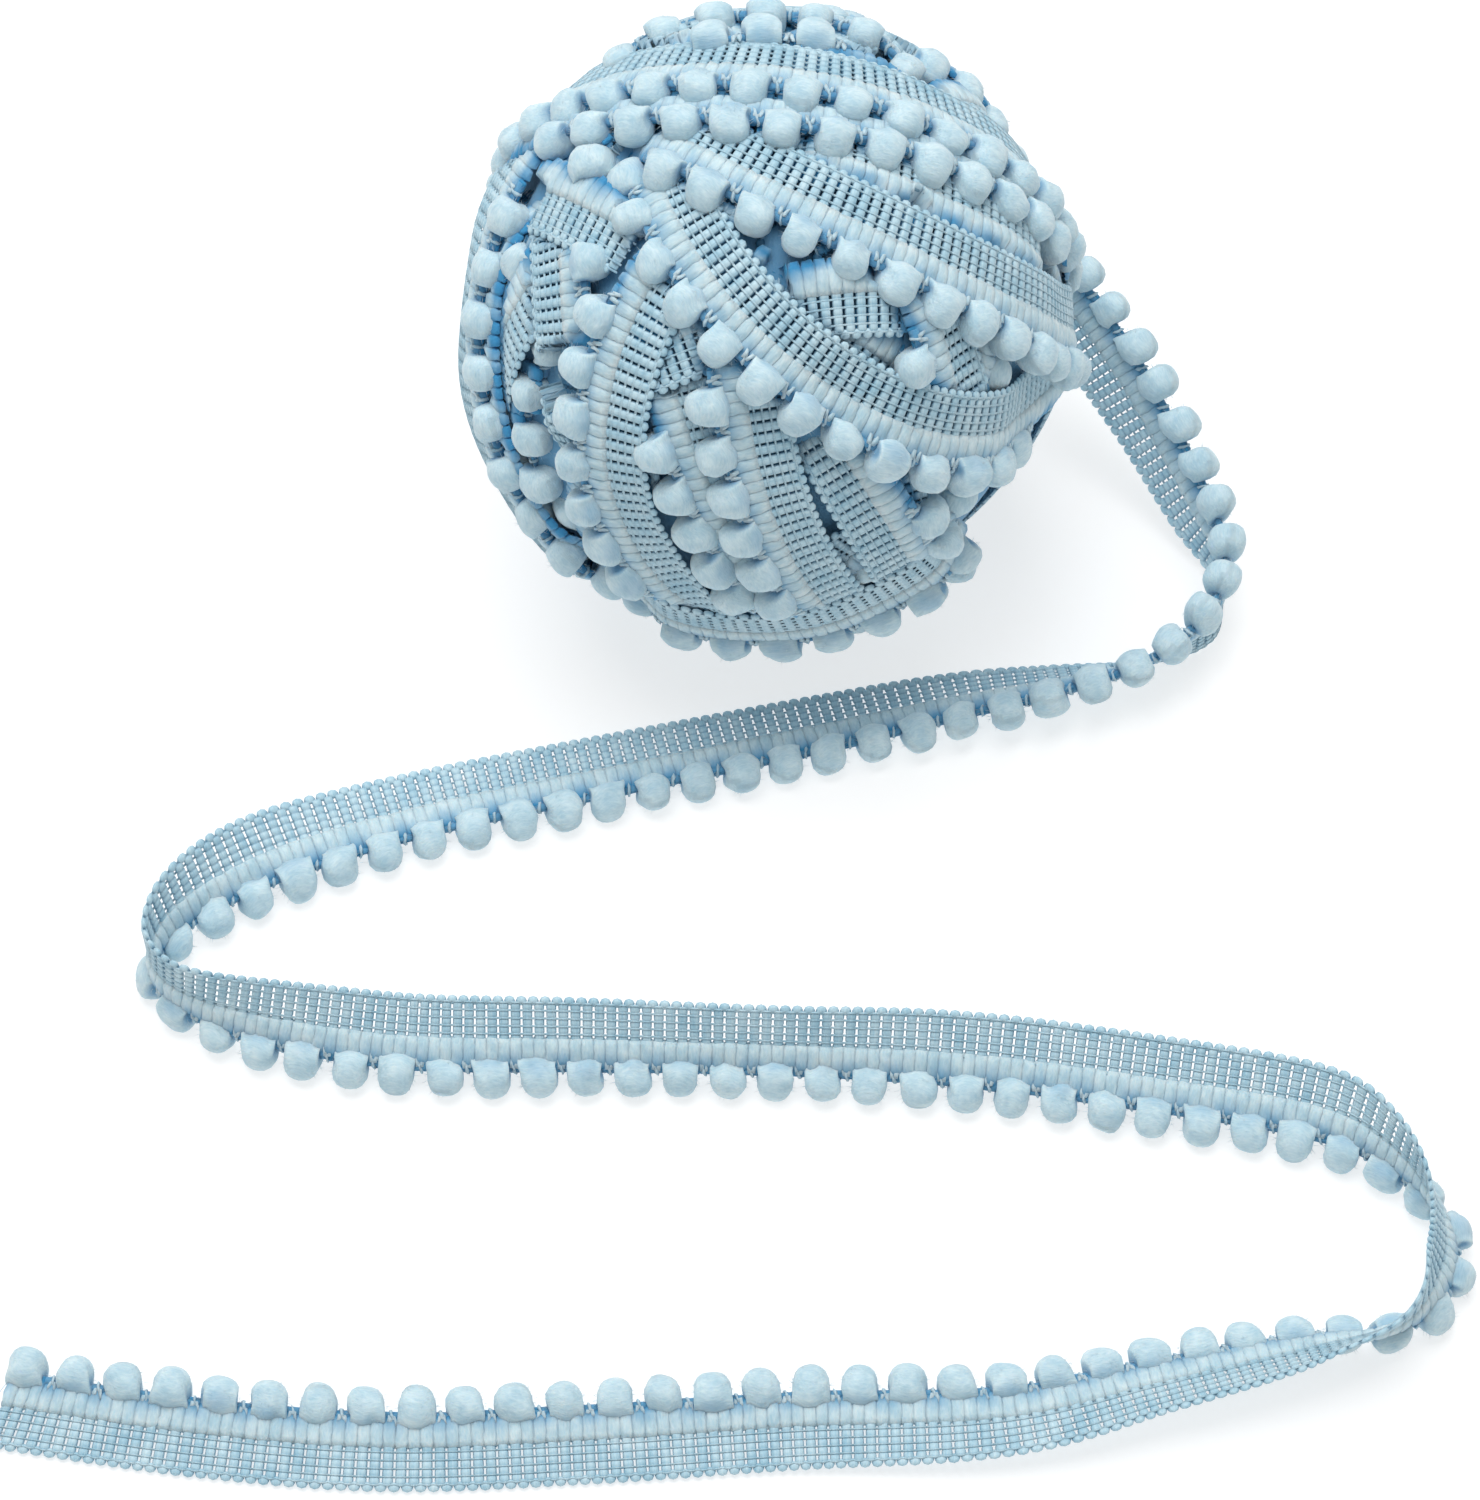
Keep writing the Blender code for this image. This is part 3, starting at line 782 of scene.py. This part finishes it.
@dataclass(frozen=True)
class YarnFinish:
    """Finish of a dyed synthetic yarn: its colours, its fibres and how it takes the light. Its third colour is
    painted shade, mixed in by the depth attribute.
    """

    name: str
    light: str
    dark: str
    painted_shade_colour: str
    fibre_mm: float
    fibre_stretch: float
    mottle_mm: float
    bump_mm: float
    roughness: float
    sheen: float
    soft: float

    def build(self) -> bpy.types.Material:
        """Make the material, whose fibres follow the yarn coordinates."""
        material = bpy.data.materials.new(self.name)
        material.use_nodes = True
        tree = material.node_tree
        tree.nodes.clear()
        yarn = add_node(tree, "ShaderNodeAttribute", {"attribute_name": "yarn"}).outputs["Vector"]
        depth = add_node(tree, "ShaderNodeAttribute", {"attribute_name": "depth"}).outputs["Fac"]
        along = add_node(tree, "ShaderNodeMapping", {"Scale": (1.0, 1.0 / self.fibre_stretch, 1.0)},
                         {"Vector": yarn}).outputs["Vector"]
        fibre = add_node(tree, "ShaderNodeTexNoise",
                         {"Scale": 1.0 / (self.fibre_mm * MM), "Detail": 3.0, "Roughness": 0.6},
                         {"Vector": along}).outputs["Fac"]
        place = add_node(tree, "ShaderNodeTexCoord").outputs["Object"]
        mottle = add_node(tree, "ShaderNodeTexNoise",
                          {"Scale": 1.0 / (self.mottle_mm * MM), "Detail": 2.0},
                          {"Vector": place}).outputs["Fac"]
        blend = add_node(tree, "ShaderNodeMath", {"operation": "ADD"}, {0: fibre, 1: mottle}).outputs[0]
        tone = add_node(tree, "ShaderNodeMapRange", {1: 0.7, 2: 1.3}, {0: blend}).outputs[0]
        body = add_node(tree, "ShaderNodeMix",
                        {"data_type": "RGBA", 6: colour(self.dark), 7: colour(self.light)}, {0: tone}).outputs[2]
        # Painted shade: the depth attribute mixes the colour toward the dark shade colour in gaps, beside ties
        # and under later turns.
        painted_shade = add_node(tree, "ShaderNodeMix", {"data_type": "RGBA", 7: colour(self.painted_shade_colour)},
                        {0: depth, 6: body}).outputs[2]
        bump = add_node(tree, "ShaderNodeBump", {"Strength": 0.6, "Distance": self.bump_mm * MM},
                        {"Height": fibre}).outputs[0]
        shader = add_node(tree, "ShaderNodeBsdfPrincipled", {
            "Roughness": self.roughness,
            "Sheen Weight": self.sheen,
            "Sheen Roughness": 0.5,
            "Subsurface Weight": self.soft,
            "Subsurface Scale": 1.2 * MM,
            "Subsurface Radius": (0.7, 1.0, 1.2),
            "IOR": 1.5,
        }, {"Base Color": painted_shade, "Normal": bump})
        add_node(tree, "ShaderNodeOutputMaterial", {}, {"Surface": shader.outputs[0]})
        return material


# Spun microfibre roving, brushed: matt, with a soft bloom at its edge. Its fibres are a few hundredths of a
# millimetre thick and drawn about ten times as coarse, so that they show.
# Its last colour is the painted shade of gaps and crevices.
PLUSH = YarnFinish(name="plush_roving", light="#D2E6EC", dark="#ADCDDB", painted_shade_colour="#3A8CBC", fibre_mm=0.28,
                   fibre_stretch=3.5, mottle_mm=2.2, bump_mm=0.2, roughness=0.95, sheen=0.2, soft=0.3)
# Flat filament polyester weft: smooth parallel filaments, drawn coarser than real, with a slight silky lustre
# across the tape.
# Its last colour is the painted shade of the slots.
TAPE = YarnFinish(name="filament_weft", light="#C6E0EA", dark="#97C1D4", painted_shade_colour="#2F7299", fibre_mm=0.22,
                  fibre_stretch=9.0, mottle_mm=3.0, bump_mm=0.08, roughness=0.48, sheen=0.1, soft=0.1)


@dataclass
class PieceMaker:
    """Joins laid shapes into pieces of a limited size and hands them to the frame."""

    limit: int = 185000
    finishes: list = field(default_factory=lambda: [TAPE.build(), PLUSH.build()])

    def make(self, name: str, shapes: list[Shape], nodes: tuple[str, ...]) -> list[bpy.types.Object]:
        """Make one or more objects from shapes.

        Args:
            name: Name of the piece; a number is added when it takes more than one.
            shapes: Laid shapes, in the row frame.
            nodes: The nodes that the piece stands for.

        Returns:
            The objects.
        """
        groups = [[]]
        count = 0
        for shape in shapes:
            if count + len(shape.faces) > self.limit:
                groups.append([])
                count = 0
            groups[-1].append(shape)
            count += len(shape.faces)
        pieces = []
        for number, group in enumerate(groups, 1):
            label = name if len(groups) == 1 else f"{name}_{number}"
            piece = self.piece(label, group)
            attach(piece, "root")
            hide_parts(*nodes)
            LOG.info("%s: %d triangles", label, len(piece.data.polygons))
            pieces.append(piece)
        return pieces

    def piece(self, name: str, shapes: list[Shape]) -> bpy.types.Object:
        """Join shapes of both yarns into one smooth object with its attributes."""
        starts = np.cumsum([0] + [len(s.verts) for s in shapes[:-1]])
        verts = np.concatenate([s.verts for s in shapes])
        faces = np.concatenate([s.faces + start for s, start in zip(shapes, starts)])
        mesh = bpy.data.meshes.new(name)
        mesh.from_pydata(verts.tolist(), [], faces.tolist())
        mesh.polygons.foreach_set("use_smooth", np.ones(len(faces), dtype=bool))
        used = sorted({s.finish.value for s in shapes})
        for value in used:
            mesh.materials.append(self.finishes[value])
        numbers = np.concatenate([np.full(len(s.faces), used.index(s.finish.value)) for s in shapes])
        mesh.polygons.foreach_set("material_index", numbers.astype(np.int32))
        yarn = mesh.attributes.new("yarn", "FLOAT_VECTOR", "POINT")
        yarn.data.foreach_set("vector", np.concatenate([s.yarn for s in shapes]).astype(np.float32).ravel())
        # The depth attribute holds the painted shade that the materials mix in.
        depth = mesh.attributes.new("depth", "FLOAT", "POINT")
        depth.data.foreach_set("value", np.concatenate([s.depth for s in shapes]).astype(np.float32))
        mesh.validate()
        item = bpy.data.objects.new(name, mesh)
        bpy.context.scene.collection.objects.link(item)
        return item


@dataclass
class TrimMaker:
    """Repeats the small shapes of the trim and lays them along the tail and round the ball."""

    trim: Trim = TRIM
    seed: int = 11
    pompom_lift: float = 0.3 * MM
    pompom_room: float = 4.9 * MM
    filler_sink: float = 1.3 * MM
    unevenness: float = 0.06 * MM

    def __post_init__(self) -> None:
        """Model the small shapes once."""
        cell = TrimCell()
        self.tape_shapes = [cell.bundle(), cell.warp(), cell.picot()]
        self.tuft = cell.tuft()
        self.tie = cell.tie()
        self.ball_tape = [without_underside(shape) for shape in self.tape_shapes]
        self.ball_tuft = without_underside(self.tuft)
        self.pompoms = [cell.pompom(i) for i in range(cell.variants)]
        self.rng = np.random.default_rng(self.seed)

    def repeat(self, shape: Shape, offsets: np.ndarray, lay: Callable, shade: Callable | None = None) -> Shape:
        """Repeat a shape at offsets along the trim and lay the copies.

        Args:
            shape: The flat shape.
            offsets: Distances along the trim.
            lay: Function from flat points to laid ones.
            shade: Function from flat points to the painted shade that their place adds.

        Returns:
            The laid copies as one shape.
        """
        count = len(offsets)
        size = len(shape.verts)
        points = np.tile(shape.verts, (count, 1))
        points[:, 0] += np.repeat(offsets, size)
        yarn = np.tile(shape.yarn, (count, 1))
        yarn[:, 0] += np.repeat(offsets, size)
        faces = np.tile(shape.faces, (count, 1)) + np.repeat(np.arange(count) * size, len(shape.faces))[:, None]
        if shape.finish is Yarn.PLUSH:
            points += self.rng.normal(size=points.shape) * self.unevenness
        depth = np.tile(shape.depth, count)
        if shade is not None:
            depth = np.clip(depth + shade(points), 0.0, 1.0)
        return Shape(lay(points), faces, yarn, depth, shape.finish)

    def place(self, places: np.ndarray, axes: np.ndarray, shrink: float = 1.0) -> list[Shape]:
        """Place whole pompoms, each turned and sized a little by chance."""
        shapes = []
        for place, rows in zip(places, axes):
            puff = self.pompoms[self.rng.integers(len(self.pompoms))]
            spin = self.rng.normal() * 0.35
            size = shrink * (1.0 + 0.03 * self.rng.normal()) * np.array([1.0, 1.02, 1.0])
            turn = np.array(Matrix.Rotation(spin, 3, "X"))
            verts = (puff.verts * size) @ turn.T @ rows + place
            yarn = puff.yarn + np.array([0.0, 0.0, self.rng.uniform()])
            shapes.append(Shape(verts, puff.faces, yarn, puff.depth, puff.finish))
        return shapes

    def frayed_end(self, tail: TailLay) -> list[Shape]:
        """Loose warp ends at the cut, and one fine thread pulled out in a loop to the last pompom."""
        t = self.trim
        rng = np.random.default_rng(self.seed + 1)
        shapes = []
        for y in np.linspace(t.weave_start, t.weave_end, 2 * t.rows + 1):
            bm = bmesh.new()
            length = rng.uniform(*t.fray) * MM
            lean = Vector((1.0, rng.normal() * 0.25, rng.normal() * 0.15))
            turn = lean.to_track_quat("Z", "Y").to_matrix().to_4x4()
            place = Matrix.Translation((tail.length, y, 0.1 * MM)) @ turn
            bmesh.ops.create_cone(bm, cap_ends=True, segments=4, radius1=0.12 * MM, radius2=0.05 * MM,
                                  depth=2 * length, matrix=place)
            shapes.append(Shape.from_bmesh(bm, Yarn.PLUSH))
        bm = bmesh.new()
        middle = Vector((tail.length - 0.3 * MM, (t.reach + t.tie_place) / 2, 0.2 * MM))
        ring = bmesh.ops.create_circle(bm, segments=4, radius=t.loose_thread)["verts"]
        bmesh.ops.rotate(bm, matrix=Matrix.Rotation(math.pi / 2, 3, "Y"), verts=ring)
        bmesh.ops.translate(bm, vec=middle + Vector((0.0, middle.y - t.tie_place, 0.0)), verts=ring)
        bmesh.ops.spin(bm, geom=list(bm.edges) + list(bm.verts), cent=middle, axis=(0.0, 0.0, 1.0),
                       angle=-math.pi, steps=14)
        bmesh.ops.scale(bm, vec=(t.loop_flat, 1.0, 1.0), verts=bm.verts, space=Matrix.Translation(-middle))
        bmesh.ops.holes_fill(bm, edges=bm.edges, sides=4)
        shapes.append(Shape.from_bmesh(bm, Yarn.PLUSH))
        return [Shape(tail.lay(s.verts), s.faces, s.yarn, s.depth, s.finish) for s in shapes]

    def painted_shade_by_ties(self, first_tie: float, points: np.ndarray) -> np.ndarray:
        """Painted shade that the plush band gains beside its ties, where the pompoms draw it in and shade it."""
        near = 0.5 + 0.5 * np.cos((points[:, 0] - first_tie) / self.trim.pitch * math.tau)
        return 0.55 * near * smooth_between(4.0 * MM, 2.2 * MM, points[:, 1])

    def band_painted_shade(self, ball: WoundBall, number: int, points: np.ndarray) -> np.ndarray:
        """Painted shade of the plush band on a turn of the ball, under later turns and beside its ties."""
        return ball.painted_shade(number, points) + self.painted_shade_by_ties(0.0, points)

    def along_tail(self, tail: TailLay) -> tuple[list[Shape], list[Shape]]:
        """Lay the tail.

        Args:
            tail: Its route.

        Returns:
            The shapes of its tape, and those of its pompom row.
        """
        t = self.trim
        columns = np.arange(t.bundle_pitch / 2, tail.length, t.bundle_pitch)
        tape = [self.repeat(shape, columns, tail.lay) for shape in self.tape_shapes]
        middles = tail.first_pompom + np.arange(tail.pompoms) * t.pitch
        places, axes = tail.frames(middles, 0.0)
        row = self.place(places, axes)
        row.append(self.repeat(self.tuft, columns, tail.lay, partial(self.painted_shade_by_ties, middles[0] + t.pitch / 2)))
        row.append(self.repeat(self.tie, middles[:-1] + t.pitch / 2, tail.lay))
        row += self.frayed_end(tail)
        return tape, row

    def round_ball(self, ball: WoundBall) -> tuple[list[Shape], list[Shape]]:
        """Lay all turns of the ball, without the cells that later turns hide.

        Args:
            ball: The ball with its turns wound.

        Returns:
            The shapes of its tape, and those of its pompom rows.
        """
        t = self.trim
        tape = []
        rows = []
        self.kept = np.zeros((0, 3))
        for number in reversed(range(len(ball.turns))):
            turn = ball.turns[number]
            columns = (np.arange(turn.pompoms * t.bundles) + 0.5) * t.bundle_pitch
            seen = np.zeros(len(columns), dtype=bool)
            for across in (3.0 * MM, 5.2 * MM, 7.4 * MM, 9.8 * MM):
                way = turn.direction(columns * turn.stretch, np.full(len(columns), across))
                seen |= ~ball.covered(number, way, 0.8 * MM)
            spots = ball.lay(number, np.stack([columns, np.full(len(columns), 6.0 * MM), columns * 0], axis=1))
            seen &= spots[:, 2] > 1.2 * MM
            columns = columns[seen]
            if len(columns):
                laid = partial(ball.lay, number)
                # Painted shade where the turn's cells lie under later turns, and on its plush band beside the
                # ties.
                shade = partial(ball.painted_shade, number)
                tape += [self.repeat(shape, columns, laid, shade) for shape in self.ball_tape]
                tape.append(self.repeat(self.ball_tuft, columns, laid, partial(self.band_painted_shade, ball, number)))
            middles = (np.arange(turn.pompoms) + 0.5) * t.pitch
            rows += self.turn_pompoms(ball, number, turn, middles)
        return tape, rows

    def turn_pompoms(self, ball: WoundBall, number: int, turn: Turn, middles: np.ndarray) -> list[Shape]:
        """Lay the pompoms and ties of one turn that show."""
        t = self.trim
        zero = np.zeros(len(middles))
        way = turn.direction(middles * turn.stretch, zero)
        seen = ~ball.covered(number, way, 1.0 * MM)
        lift = self.pompom_lift - (self.filler_sink if turn.filler else 0.0)
        lifted = np.stack([middles, zero, zero + lift], axis=1)
        places = ball.stand(turn, lifted)
        seen &= places[:, 2] > t.pompom_radius * 0.9
        seen &= middles * turn.stretch < turn.length - math.radians(turn.bare) * turn.round_radius
        if len(self.kept):
            gaps = np.linalg.norm(places[:, None] - self.kept[None], axis=2).min(axis=1)
            seen &= gaps > self.pompom_room
        self.kept = np.concatenate([self.kept, places[seen]])
        step = np.array([0.5 * MM, 0.0, 0.0])
        ahead = ball.stand(turn, lifted + step) - ball.stand(turn, lifted - step)
        facing = unit(places - ball.centre)
        along = unit(ahead - facing * np.sum(ahead * facing, axis=1, keepdims=True))
        across = np.cross(facing, along) * (1 if turn.side < 0 else -1)
        toward = turn.direction(middles * turn.stretch, zero + MM) - way
        across = across * np.sign(np.sum(across * toward, axis=1, keepdims=True))
        axes = np.stack([np.cross(across, facing), across, facing], axis=1)
        shapes = self.place(places[seen], axes[seen], 1.04)
        ties = middles + t.pitch / 2
        tie_way = turn.direction(ties * turn.stretch, np.zeros(len(ties)))
        shown = ~ball.covered(number, tie_way, 0.2 * MM) & (seen | np.roll(seen, -1))
        if not turn.whole:
            shown[-1] = False
        if shown.any():
            def laid(points: np.ndarray) -> np.ndarray:
                """Lay points on this turn, lifted as the pompoms are."""
                return ball.stand(turn, points + np.array([0.0, 0.0, lift]))
            shapes.append(self.repeat(self.tie, ties[shown], laid))
        return shapes


@dataclass(frozen=True)
class View:
    """The photograph's camera: where it looks, from how far and how steeply."""

    aim: tuple[float, float, float] = (-3.7 * MM, -40.7 * MM, 0.0)
    elevation: float = 57.0
    distance: float = 680.0 * MM
    focal: float = 123.2

    def build(self) -> None:
        """Make the camera and set it as the scene's own."""
        data = bpy.data.cameras.new("camera")
        data.lens = self.focal
        data.sensor_width = 36.0
        data.clip_start = 0.01
        camera = bpy.data.objects.new("camera", data)
        bpy.context.scene.collection.objects.link(camera)
        lift = math.radians(self.elevation)
        back = Vector((0.0, -math.cos(lift), math.sin(lift)))
        camera.location = Vector(self.aim) + back * self.distance
        camera.rotation_euler = (math.pi / 2 - lift, 0.0, 0.0)
        bpy.context.scene.camera = camera


@dataclass(frozen=True)
class Studio:
    """A white table under broad soft light from above."""

    floor_half: float = 1.5
    floor_colour: str = "#B4B4B4"
    floor_glow: float = 0.62
    sky_strength: float = 0.45
    lamp_power: float = 13.5
    lamp_size: float = 1.0
    lamp_place: tuple[float, float, float] = (-0.12, 0.22, 1.22)
    lamp_aim: tuple[float, float, float] = (0.0, -0.05, 0.0)

    def build(self) -> None:
        """Make the floor, the sky and the lamp."""
        bm = bmesh.new()
        bmesh.ops.create_grid(bm, x_segments=1, y_segments=1, size=self.floor_half)
        mesh = bpy.data.meshes.new("floor")
        bm.to_mesh(mesh)
        bm.free()
        floor = bpy.data.objects.new("floor", mesh)
        bpy.context.scene.collection.objects.link(floor)
        material = bpy.data.materials.new("white_table")
        material.use_nodes = True
        shader = material.node_tree.nodes["Principled BSDF"]
        shader.inputs["Base Color"].default_value = colour(self.floor_colour)
        shader.inputs["Roughness"].default_value = 0.9
        shader.inputs["Emission Color"].default_value = (1.0, 1.0, 1.0, 1.0)
        shader.inputs["Emission Strength"].default_value = self.floor_glow
        mesh.materials.append(material)
        world = bpy.data.worlds.new("soft_sky")
        world.use_nodes = True
        world.node_tree.nodes["Background"].inputs["Color"].default_value = (1.0, 1.0, 1.0, 1.0)
        world.node_tree.nodes["Background"].inputs["Strength"].default_value = self.sky_strength
        bpy.context.scene.world = world
        lamp_data = bpy.data.lights.new("overhead", "AREA")
        lamp_data.energy = self.lamp_power
        lamp_data.size = self.lamp_size
        lamp = bpy.data.objects.new("overhead", lamp_data)
        lamp.location = self.lamp_place
        lamp.rotation_euler = (Vector(self.lamp_aim) - lamp.location).to_track_quat("-Z", "Y").to_euler()
        bpy.context.scene.collection.objects.link(lamp)
        bpy.context.scene.view_settings.view_transform = "Standard"


def core_of_ball(ball: WoundBall, maker: PieceMaker) -> bpy.types.Object:
    """The turns far inside the ball, which show only at the bottom of its gaps, painted dark with shade."""
    bm = bmesh.new()
    bmesh.ops.create_icosphere(bm, subdivisions=5, radius=1.0)
    shape = Shape.from_bmesh(bm, Yarn.PLUSH)
    way = unit(shape.verts)
    radius = np.clip(ball.surface(way, len(ball.turns)) - ball.heart_below, ball.heart_radius, None)
    shape.verts = ball.centre + way * radius[:, None] * ball.shape
    shape.verts[:, 2] = np.maximum(shape.verts[:, 2], ball.floor)
    shape.yarn = shape.verts.copy()
    shape.depth[:] = ball.heart_painted_shade
    return maker.make("ball_heart", [shape], ("wound_ball",))[0]


def main() -> None:
    """Build the camera, the light and the trim."""
    logging.basicConfig(level=logging.INFO, format="%(message)s")
    View().build()
    Studio().build()
    maker = PieceMaker()
    trimmer = TrimMaker()
    tail = TailLay(TAIL_STOPS)
    tape, row = trimmer.along_tail(tail)
    nodes = tuple(sorted(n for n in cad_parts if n.startswith("tail_pompoms")))
    cloth = maker.make("tail_tape_cloth", tape, ("tail_tape",))
    puffs = maker.make("tail_pompom_row", row, nodes)
    ball = WoundBall(BALL_TURNS)
    core_of_ball(ball, maker)
    tape, rows = trimmer.round_ball(ball)
    maker.make("ball_tape", tape, ("wound_ball",))
    maker.make("ball_pompoms", rows, ("wound_ball",))


if __name__ == "__main__":
    main()
